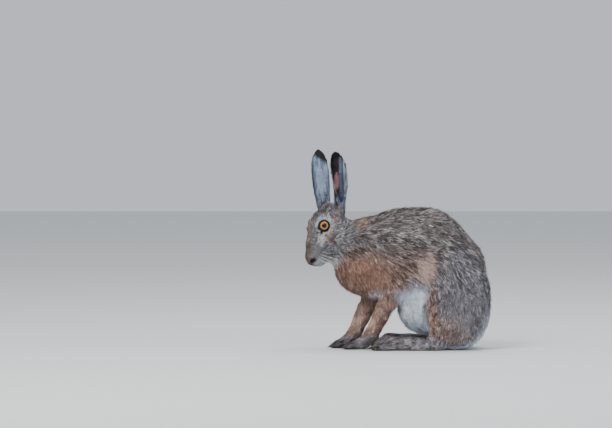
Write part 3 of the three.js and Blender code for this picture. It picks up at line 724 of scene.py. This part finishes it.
# A blade has two vertices at each station along it and one at its tip
STATIONS, STATION_WIDTHS = (0.0, 0.38, 0.74), (0.7, 1.0, 0.72)
BLADE = np.array([[0, 1, 3], [0, 3, 2], [2, 3, 5], [2, 5, 4], [4, 5, 6]])
BLADE_MAP = np.array([[0, 0], [1, 0], [0, 0.4], [1, 0.4], [0, 0.75], [1, 0.75], [0.5, 1]]) - 0.5
ROOT_SINK, LOWEST_TIP = 0.35, 0.15
# The brightest a tuft's colour goes, and the share its root keeps: the hair's darker base with painted
# shade deep in the coat
BRIGHTEST, ROOT_SHADE = 0.8, 0.5
# How fast a blade rises from the skin and bends to its clump, and how a stray one stands up
RISE_BEND, PULL_BEND = 2.2, 1.5
STRAY_SHARE, STRAY_MORE = 1.5, 0.3
# How much brightness varies: by tuft, by clump, by clump where the coat is ticked, and over broad patches
TUFT_TONE, CLUMP_TONE, TICKED_TONE = 0.15, 0.12, 0.65
PATCH_TONE, PATCH_SIZE = 0.5, 22
# Between which values of the speckle tips turn dark and pale
DARK_TIPS, PALE_TIPS = (0.46, 0.62), (0.52, 0.66)


def density(p):
    """Tuft roots per mm²."""
    _, sizes = guided(p)
    rate = ROOT_RATE / (sizes[:, 1] * sizes[:, 2]) ** RATE_FALL
    h = to_head(p)
    hs = outward(h)
    turn, far = eye_polar(hs)
    edge = HAIR_EDGE + HAIR_EDGE_MORE * smooth(hs[:, 0] - EYE_AT[0], 0, 9)
    bare = 1 - smooth(turn, edge - HAIR_EDGE_SOFT, edge + HAIR_EDGE_SOFT)
    eye = bare * (1 - smooth(far, *EYE_CLOSE))
    rate = rate * (1 - eye) * (1 - 0.9 * blob(h, *BARE_NOSE))
    rate = np.where(p[:, 2] < FEET_TO_Z, FEET_RATE * rate, rate)
    rate = np.where(p[:, 2] < SOLE_TO_Z, SOLE_RATE * rate, rate)
    return np.where(np.linalg.norm(h - HEAD_MIDDLE, axis=1) < HEAD_REACH, HEAD_RATE * rate, rate)


def loop_triangles(mesh):
    """(vertex numbers, loop numbers) of the mesh's triangles."""
    mesh.calc_loop_triangles()
    count = len(mesh.loop_triangles)
    tri = np.empty(count * 3, int)
    mesh.loop_triangles.foreach_get("vertices", tri)
    loops = np.empty(count * 3, int)
    mesh.loop_triangles.foreach_get("loops", loops)
    return tri.reshape(-1, 3), loops.reshape(-1, 3)


def surface_samples(mesh):
    """Random roots over the skin: (points, normals, places on the map)."""
    tri, loops = loop_triangles(mesh)
    co, no = mesh_arrays(mesh)
    uv = np.empty(len(mesh.loops) * 2)
    mesh.uv_layers["OFBake"].uv.foreach_get("vector", uv)
    uv = uv.reshape(-1, 2)
    a, b, c = co[tri[:, 0]], co[tri[:, 1]], co[tri[:, 2]]
    area = np.linalg.norm(np.cross(b - a, c - a), axis=1) / 2 / MM**2
    middle = (a + b + c) / 3 / MM - SHIFT
    expected = area * density(middle) * SHARE
    copies = np.floor(expected + rng.random(len(tri))).astype(int)
    face = np.repeat(np.arange(len(tri)), copies)
    r1, r2 = rng.random(len(face)), rng.random(len(face))
    flip = r1 + r2 > 1
    r1[flip], r2[flip] = 1 - r1[flip], 1 - r2[flip]
    weight = np.column_stack([1 - r1 - r2, r1, r2])[:, :, None]
    p = (co[tri[face]] * weight).sum(1) / MM - SHIFT
    n = (no[tri[face]] * weight).sum(1)
    n /= np.linalg.norm(n, axis=1, keepdims=True)
    return p, n, (uv[loops[face]] * weight).sum(1)


def normalised(v):
    return v / np.maximum(np.linalg.norm(v, axis=1, keepdims=True), 1e-9)


def combed(p, n, ways):
    """(lie, across): the way each tuft points along the skin, and the way across its blade."""
    waver = np.column_stack([noise(p, WAVER_SIZE, salt) for salt in (1, 2, 4)]) - 0.5
    lie = ways + WAVER * waver * 2
    lie = normalised(lie - n * (lie * n).sum(1, keepdims=True))
    across = normalised(np.cross(n, lie))
    lie = normalised(lie + across * rng.normal(0, TURN, len(p))[:, None])
    tilt = n * rng.normal(0, TILT, len(p))[:, None]
    return lie, normalised(np.cross(n, lie) + tilt)


def clump_numbers(p, lie, size):
    """The clump of each tuft: cells that are drawn out along the hair and warped."""
    short = p - lie * (p * lie).sum(1, keepdims=True) * CLUMP_STRETCH
    warp = np.column_stack([noise(p, size * 1.7, salt) for salt in (5, 6, 8)]) * size * 1.6
    cell = np.floor((short + warp) / size).astype(int)
    key = np.bitwise_xor.reduce(cell * CLUMP_HASH, axis=1)
    return np.unique(key, return_inverse=True)[1].ravel()


def gathering(n, length, tips, member):
    """How far each tip is drawn towards the middle of its clump's tips."""
    size = np.bincount(member)
    centre = np.column_stack([np.bincount(member, tips[:, k]) for k in range(3)]) / size[:, None]
    pull = (centre[member] - tips) * GATHER
    pull -= n * (pull * n).sum(1, keepdims=True) * 0.8
    most = length[:, None] * GATHER_MOST
    return pull * np.minimum(1, most / np.maximum(np.linalg.norm(pull, axis=1, keepdims=True), 1e-6))


def tuft_shades(p, n, clump_size, tone, luck):
    """Colours of each blade's vertices from root to tip, with dark and pale tips in places."""
    colour, dark = markings(p, n)
    speck = noise(p, clump_size * 1.4, 9) * 0.35 + luck * 0.4 + rng.random(len(p)) * 0.25
    strength = CLUMP_TONE + TICKED_TONE * dark
    own = rng.normal(0, TUFT_TONE, len(p))
    light = np.exp(own + strength * tone + PATCH_TONE * (noise(p, PATCH_SIZE, 11) - 0.5))
    mid = np.minimum(colour * light[:, None], BRIGHTEST)
    # Darker roots: the hair's darker base and painted shade deep in the coat
    root = mid * ROOT_SHADE
    tip_dark = dark * smooth(speck, *DARK_TIPS)
    tip_pale = dark * smooth(1 - speck, *PALE_TIPS) * 0.85
    tip = mix(mid, DARK, 0.95 * tip_dark)
    tip = mix(tip, PALE, 0.8 * tip_pale)
    mid = mix(mid, DARK, 0.55 * tip_dark)
    upper = (mid + tip) / 2
    return np.stack([root, root, mid, mid, upper, upper, tip], 1)


def tuft_arrays(p, n, place, clump_size):
    """Blades for roots p: vertices, faces, colours and places on the map, all as arrays."""
    ways, sizes = guided(p)
    depth, length, width = sizes.T
    count = len(p)
    lie, across = combed(p, n, ways)
    length = length * rng.uniform(*LENGTHS, count)
    reach = depth * rng.uniform(*REACHES, count)
    width = width * rng.uniform(*WIDTHS, count)
    member = clump_numbers(p, lie, clump_size)
    pull = gathering(n, length, p + lie * length[:, None] + n * reach[:, None], member)
    clumps = member.max() + 1
    tone = rng.normal(0, 1, clumps)[member]
    luck = rng.random(clumps)[member]
    stray = rng.random(count) < STRAYS
    reach = np.where(stray, reach * STRAY_SHARE + STRAY_MORE, reach) * (0.75 + 0.5 * luck)

    def spine(t):
        rise = reach * (1 - (1 - t) ** RISE_BEND)
        return p + lie * (length * t)[:, None] + n * rise[:, None] + pull * t**PULL_BEND

    rows = []
    for t, wide in zip(STATIONS, STATION_WIDTHS):
        spot = spine(t) - n * (ROOT_SINK if t == 0 else 0)
        half = across * (width * wide / 2)[:, None]
        rows += [spot - half, spot + half]
    rows.append(spine(1.0))
    vertices = np.stack(rows, 1)
    vertices[:, :, 2] = np.maximum(vertices[:, :, 2], LOWEST_TIP)
    faces = np.arange(count)[:, None, None] * len(rows) + BLADE
    uv = np.clip(place[:, None, :] + BLADE_MAP * PATCH, MAP_MARGIN, 1 - MAP_MARGIN)
    return vertices, faces, tuft_shades(p, n, clump_size, tone, luck), uv


def piece_of(name, vertices, faces, shades, uv, material, slot):
    """A named piece from arrays: vertices in millimetres, triangles, a colour and a uv per vertex."""
    mesh = bpy.data.meshes.new(name)
    flat = (vertices.reshape(-1, 3) + SHIFT) * MM
    tri = faces.reshape(-1, 3)
    mesh.vertices.add(len(flat))
    mesh.vertices.foreach_set("co", flat.ravel())
    mesh.loops.add(tri.size)
    mesh.loops.foreach_set("vertex_index", tri.ravel())
    mesh.polygons.add(len(tri))
    mesh.polygons.foreach_set("loop_start", np.arange(len(tri)) * 3)
    mesh.update(calc_edges=True)
    paint(mesh, shades.reshape(-1, 3))
    layer = mesh.uv_layers.new(name="OFBake")
    layer.uv.foreach_set("vector", uv.reshape(-1, 2)[tri.ravel()].ravel())
    mesh.materials.append(material)
    mesh.shade_smooth()
    made = bpy.data.objects.new(name, mesh)
    bpy.context.scene.collection.objects.link(made)
    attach(made, "root")
    return made


# Regions of the coat: name, slot and clump size, in the order in which region_of tests them
FINE, COARSE = 3.4, 4.8
REGIONS = [
    ("coat_ear_left", "ear", FINE),
    ("coat_ear_right", "ear", FINE),
    ("coat_head", "coat_head", FINE),
    ("coat_neck", "coat_neck", COARSE),
    ("coat_feet_left", "paw", COARSE),
    ("coat_feet_right", "paw", COARSE),
    ("coat_forelegs", "coat_leg", COARSE),
    ("coat_tail", "coat_tail", COARSE),
    ("coat_haunch_left", "coat_haunch", COARSE),
    ("coat_haunch_right", "coat_haunch", COARSE),
    ("coat_side_left", "coat_back", COARSE),
    ("coat_side_right", "coat_back", COARSE),
    ("coat_loin", "coat_back", COARSE),
]


# Borders between the regions
EARS_FROM_Z, EARS_TO_X, EARS_Y = 262, -95, -6
HEAD_TO_X = -92
NECK_TO_X, NECK_FROM_Z = -80, 95
FEET_TO_X = 90
FORELEGS_TO_X, FORELEGS_TO_Z = 8, 105
TAIL_FROM_X, TAIL_WIDTH, TAIL_TO_Z = 122, 19, 92
HAUNCH_FROM_X, HAUNCH_TO_Z = 55, 190
SIDES_TO_X = 45


def region_of(p):
    """Index in REGIONS for each root; what no test claims is the loin, the last."""
    x, y, z = p.T
    near_head = np.linalg.norm(to_head(p) - HEAD_MIDDLE, axis=1) < HEAD_REACH
    ears = (z > EARS_FROM_Z) & (x < EARS_TO_X)
    feet = (z < FEET_TO_Z) & (x < FEET_TO_X)
    haunch = (x > HAUNCH_FROM_X) & (z < HAUNCH_TO_Z)
    sides = x < SIDES_TO_X
    tests = [
        ears & (y < EARS_Y),
        ears,
        near_head & (x < HEAD_TO_X),
        (x < NECK_TO_X) & (z > NECK_FROM_Z),
        feet & (y < 0),
        feet,
        (z < FORELEGS_TO_Z) & (x < FORELEGS_TO_X),
        (x > TAIL_FROM_X) & (np.abs(y) < TAIL_WIDTH) & (z < TAIL_TO_Z),
        haunch & (y < 0),
        haunch,
        sides & (y < 0),
        sides,
    ]
    return np.select(tests, range(len(tests)), len(tests))


def make_coat(mesh):
    p, n, place = surface_samples(mesh)
    material = marked_material("fur", 0.72)
    region = region_of(p)
    for index, (name, slot, clump_size) in enumerate(REGIONS):
        chosen = region == index
        arrays = tuft_arrays(p[chosen], n[chosen], place[chosen], clump_size)
        piece_of(name, *arrays, material, slot)


def unwrap(thing):
    """The OFBake map of the skin."""
    bpy.context.view_layer.objects.active = thing
    thing.select_set(True)
    thing.data.uv_layers.new(name="OFBake")
    bpy.ops.object.mode_set(mode="EDIT")
    bpy.ops.mesh.select_all(action="SELECT")
    bpy.ops.uv.smart_project(angle_limit=math.radians(66), island_margin=0.002)
    bpy.ops.object.mode_set(mode="OBJECT")
    thing.select_set(False)


skin = make_skin()
finish_skin(skin.data)
co, no = mesh_arrays(skin.data)
colour, _ = markings(co / MM - SHIFT, no)
# The skin takes the markings darkened by painted shade under the coat
paint(skin.data, colour * SKIN_SHADE)
skin.data.materials.append(hide_material())
unwrap(skin)
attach(skin, "root")
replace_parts(skin, *FLESH)
make_coat(skin.data)


# Eyes
# Rings and steps of the ball, how far it sits in, how far and how wide its front bulges
EYE_RINGS, EYE_STEPS = 60, 72
EYE_INSET = 0.25
BULGE, BULGE_WIDTH = 0.035, 0.55
# Angles from the gaze between which the colours change
PUPIL_EDGE, LIGHT_RING, BROWN_RING, IRIS_EDGE = (0.44, 0.48), (0.56, 0.48), (0.62, 0.8), (0.74, 0.82)
AMBER = srgb(184, 122, 56)
LIGHT_AMBER = srgb(236, 176, 84)
BROWN = srgb(112, 60, 20)
PUPIL = srgb(6, 5, 6)
EYE_RIM = srgb(24, 15, 12)


def eye_material():
    material = marked_material("eyeball", 0.16)
    shader = material.node_tree.nodes["Principled BSDF"]
    shader.inputs["Specular IOR Level"].default_value = 0.05
    shader.inputs["Coat Weight"].default_value = 0.5
    shader.inputs["Coat Roughness"].default_value = 0.03
    return material


def eye_colours(angle, around):
    """Pupil, spoked iris and dark rim, by the angle from the gaze and the turn around it."""
    spoke = 0.5 + 0.5 * np.sin(around * 23 + 2 * np.sin(around * 7))
    brown = 0.45 * spoke + 0.5 * smooth(angle, *BROWN_RING)
    colour = mix(np.tile(AMBER, (len(angle), 1)), BROWN, brown)
    colour = mix(colour, LIGHT_AMBER, 0.5 * smooth(angle, *LIGHT_RING))
    colour = mix(colour, PUPIL, 1 - smooth(angle, *PUPIL_EDGE))
    return mix(colour, EYE_RIM, smooth(angle, *IRIS_EDGE))


def ring_faces(rings, steps):
    """Triangles between rings of points that have the same number of steps."""
    faces = []
    for near in range(0, (rings - 1) * steps, steps):
        far = near + steps
        for j in range(steps):
            k = (j + 1) % steps
            faces += [[near + j, near + k, far + k], [near + j, far + k, far + j]]
    return faces


def make_eye(name, side, material):
    polar = np.linspace(0, math.pi, EYE_RINGS)
    turn = np.linspace(0, 2 * math.pi, EYE_STEPS, endpoint=False)
    angle, around = (grid.ravel() for grid in np.meshgrid(polar, turn, indexing="ij"))
    out = np.column_stack([np.sin(angle) * np.cos(around), np.cos(angle), np.sin(angle) * np.sin(around)])
    bulge = 1 + BULGE * np.exp(-((angle / BULGE_WIDTH) ** 2))
    aim = np.array(Vector((0, 1, 0)).rotation_difference(Vector(GAZE)).to_matrix())
    local = (out * (EYE_RADIUS - EYE_INSET) * bulge[:, None]) @ aim.T + EYE_AT
    local[:, 1] *= side
    faces = np.array(ring_faces(EYE_RINGS, EYE_STEPS))
    if side > 0:
        faces = faces[:, ::-1]
    uv = 0.5 + 0.5 * out[:, [0, 2]] * angle[:, None] / math.pi
    return piece_of(name, from_head(local), faces, eye_colours(angle, around), uv, material, "eye")


iris = eye_material()
for name, side in (("left", 1), ("right", -1)):
    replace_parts(make_eye(f"eyeball_{name}", side, iris), f"eye_{name}")


# Whiskers and claws
# A way that no whisker or claw runs along
ASIDE = np.array([[0.3, 0.2, 0.93]])
WHISKER_ROWS, WHISKERS_IN_ROW, WHISKER_POINTS = 4, 5, 9
WHISKER_LENGTHS = 34, 56
# The foremost root in the head's axes, the step back along a row and the step down to the next row
WHISKER_AT = np.array([53, 13.5, -27])
WHISKER_BACK, WHISKER_DOWN = np.array([-4.5, 0.8, 0.6]), np.array([-1, 0, -3.2])
WHISKER_SAG = np.array([-9.0, 0, -7.0])
WHISKER_THICK, WHISKER_THIN = 0.24, 0.05
WHISKER_COLOUR = srgb(226, 224, 222)
TOES = 4
# Claws, hind and fore: height, length, drop and half-thickness along them
HIND_CLAW = 6.6, 11.5, 4.2, (2, 2, 1.8, 1.5, 1.1, 0.7, 0.25)
FORE_CLAW = 5.2, 8.5, 3.6, (1.5, 1.5, 1.4, 1.2, 0.9, 0.6, 0.2)
CLAW_SIDES, CLAW_BEND = 8, 1.6
# The hind foot's heel and length, and how far back of its end the claws begin
HEEL_X, FOOT_LENGTH, CLAW_BACK = 84, 139, 6.2
OUTER_SHORTER = 2
# Each forepaw's wrist in x and y, and its length
FOREPAWS = (-50, -18, 52), (-82, 18, 44)
HORN, PALE_HORN = srgb(52, 42, 36), srgb(74, 64, 58)
CLAW_MAP = np.array([400, 200])


def tube(points, widths, sides=3):
    """Vertices and faces of a thin closed tube along the points."""
    along = normalised(np.gradient(points, axis=0))
    first = normalised(np.cross(along, ASIDE))
    second = np.cross(along, first)
    ring = np.linspace(0, 2 * math.pi, sides, endpoint=False)[None, :, None]
    off = first[:, None] * np.cos(ring) + second[:, None] * np.sin(ring)
    vertices = (points[:, None] + widths[:, None, None] * off).reshape(-1, 3)
    faces = ring_faces(len(points), sides)
    faces += [[0, j + 1, j] for j in range(1, sides - 1)]
    last = (len(points) - 1) * sides
    faces += [[last, last + j, last + j + 1] for j in range(1, sides - 1)]
    return vertices, np.array(faces)


def joined(parts):
    vertices, faces, start = [], [], 0
    for v, f in parts:
        vertices.append(v)
        faces.append(f + start)
        start += len(v)
    return np.concatenate(vertices), np.concatenate(faces)


def whisker(side, row, k):
    """One whisker, k places back in its row."""
    start = (WHISKER_AT + WHISKER_BACK * k + WHISKER_DOWN * row) * np.array([1, side, 1])
    drop = -0.5 - 0.18 * row + rng.normal(0, 0.08)
    way = np.array([0.05 - 0.12 * k, side * (0.8 - 0.04 * k), drop])
    way /= np.linalg.norm(way)
    long = rng.uniform(*WHISKER_LENGTHS)
    t = np.linspace(0, 1, WHISKER_POINTS)[:, None]
    line = start + way * long * t + WHISKER_SAG * t**2
    return tube(from_head(line), np.linspace(WHISKER_THICK, WHISKER_THIN, WHISKER_POINTS))


def make_whiskers():
    parts = []
    for side in (-1, 1):
        for row in range(WHISKER_ROWS):
            parts += [whisker(side, row, k) for k in range(WHISKERS_IN_ROW)]
    vertices, faces = joined(parts)
    shade = np.tile(WHISKER_COLOUR, (len(vertices), 1))
    uv = 0.5 + rng.random((len(vertices), 2)) * 0.4
    piece_of("whiskers", vertices, faces, shade, uv, marked_material("whisker", 0.4), "coat_head")


def claw(x, y, z, long, drop, widths):
    """One claw that runs forwards from x and bends down."""
    t = np.linspace(0, 1, len(widths))[:, None]
    line = np.array([x, y, z]) + np.array([-long, 0, 0]) * t + np.array([0, 0, -drop]) * t**CLAW_BEND
    return tube(line, np.array(widths), CLAW_SIDES)


def hind_claw(side, step):
    across = step * HIND_SPREAD
    shorter = abs(across) * 0.55 + (OUTER_SHORTER if across * side > 0 else 0)
    end = HEEL_X - FOOT_LENGTH + CLAW_BACK + shorter
    return claw(end - 1, side * HIND_Y + across, *HIND_CLAW)


def fore_claw(wrist_x, wrist_y, paw, step):
    end = wrist_x - paw + abs(step) * 3
    return claw(end - 0.5, wrist_y + step * FORE_SPREAD, *FORE_CLAW)


def make_claws():
    steps = [i - (TOES - 1) / 2 for i in range(TOES)]
    parts = [hind_claw(side, step) for side in (-1, 1) for step in steps]
    parts += [fore_claw(*paw, step) for paw in FOREPAWS for step in steps]
    vertices, faces = joined(parts)
    low = smooth(vertices[:, 2], 6, 1)[:, None]
    shade = HORN * (1 - low) + PALE_HORN * low
    uv = vertices[:, :2] / CLAW_MAP + 0.5
    piece_of("claws", vertices, faces, shade, uv, marked_material("horn", 0.4), "paw")


make_whiskers()
make_claws()

# Floor, light, camera
FLOOR_REACH = 6.0
FLOOR_COLOUR, FLOOR_ROUGHNESS = (0.7, 0.71, 0.71), 0.8
SKY_COLOUR, SKY_STRENGTH = (0.8, 0.84, 0.9, 1), 0.8
# Lamps: name, place and size in metres, power and colour; all aim at one point
LAMPS_AIM = (0, 0, 0.15)
LAMPS = [
    ("key", (-1.1, -1.9, 2.2), 1.2, 66, (1, 0.97, 0.92)),
    ("top", (0.5, 0.4, 2.6), 1.8, 36, (0.95, 0.97, 1)),
    ("fill", (1.9, -1.6, 1.0), 1.6, 16, (0.92, 0.96, 1)),
]
MM_PER_PIXEL = 1.88
# The photograph's width and middle, and the drawing's own origin in it, in pixels
PHOTO_WIDTH, PHOTO_MIDDLE, PHOTO_ORIGIN = 612, (306, 214), (398.5, 349)
LENS, SENSOR, CLIP_END = 300.0, 36.0, 60
RISE = math.radians(2.5)
scene = bpy.context.scene


def plain_material(name, colour, roughness):
    material = bpy.data.materials.new(name)
    material.use_nodes = True
    shader = material.node_tree.nodes["Principled BSDF"]
    shader.inputs["Base Color"].default_value = (*colour, 1)
    shader.inputs["Roughness"].default_value = roughness
    return material


def make_floor():
    mesh = bpy.data.meshes.new("floor")
    corners = [(x * FLOOR_REACH, y * FLOOR_REACH, 0) for x, y in ((-1, -1), (1, -1), (1, 1), (-1, 1))]
    mesh.from_pydata(corners, [], [(0, 1, 2, 3)])
    floor = bpy.data.objects.new("floor", mesh)
    mesh.materials.append(plain_material("floor", FLOOR_COLOUR, FLOOR_ROUGHNESS))
    scene.collection.objects.link(floor)


def make_world():
    world = bpy.data.worlds.new("studio")
    world.use_nodes = True
    background = world.node_tree.nodes["Background"]
    background.inputs["Color"].default_value = SKY_COLOUR
    background.inputs["Strength"].default_value = SKY_STRENGTH
    scene.world = world


def light(name, at, size, power, colour):
    data = bpy.data.lights.new(name, "AREA")
    data.size = size
    data.energy = power
    data.color = colour
    lamp = bpy.data.objects.new(name, data)
    lamp.location = at
    lamp.rotation_euler = (Vector(LAMPS_AIM) - Vector(at)).to_track_quat("-Z", "Y").to_euler()
    scene.collection.objects.link(lamp)


def make_camera():
    across, down = np.subtract(PHOTO_MIDDLE, PHOTO_ORIGIN) * MM_PER_PIXEL
    distance = PHOTO_WIDTH * MM_PER_PIXEL * MM * LENS / SENSOR
    data = bpy.data.cameras.new("camera")
    data.lens = LENS
    data.sensor_width = SENSOR
    data.clip_end = CLIP_END
    camera = bpy.data.objects.new("camera", data)
    way = Vector((0, -math.cos(RISE), math.sin(RISE)))
    camera.location = Vector(to_frame([across, 0, -down])) + way * distance
    camera.rotation_euler = (math.pi / 2 - RISE, 0, 0)
    scene.collection.objects.link(camera)
    scene.camera = camera


make_floor()
make_world()
for lamp_row in LAMPS:
    light(*lamp_row)
make_camera()
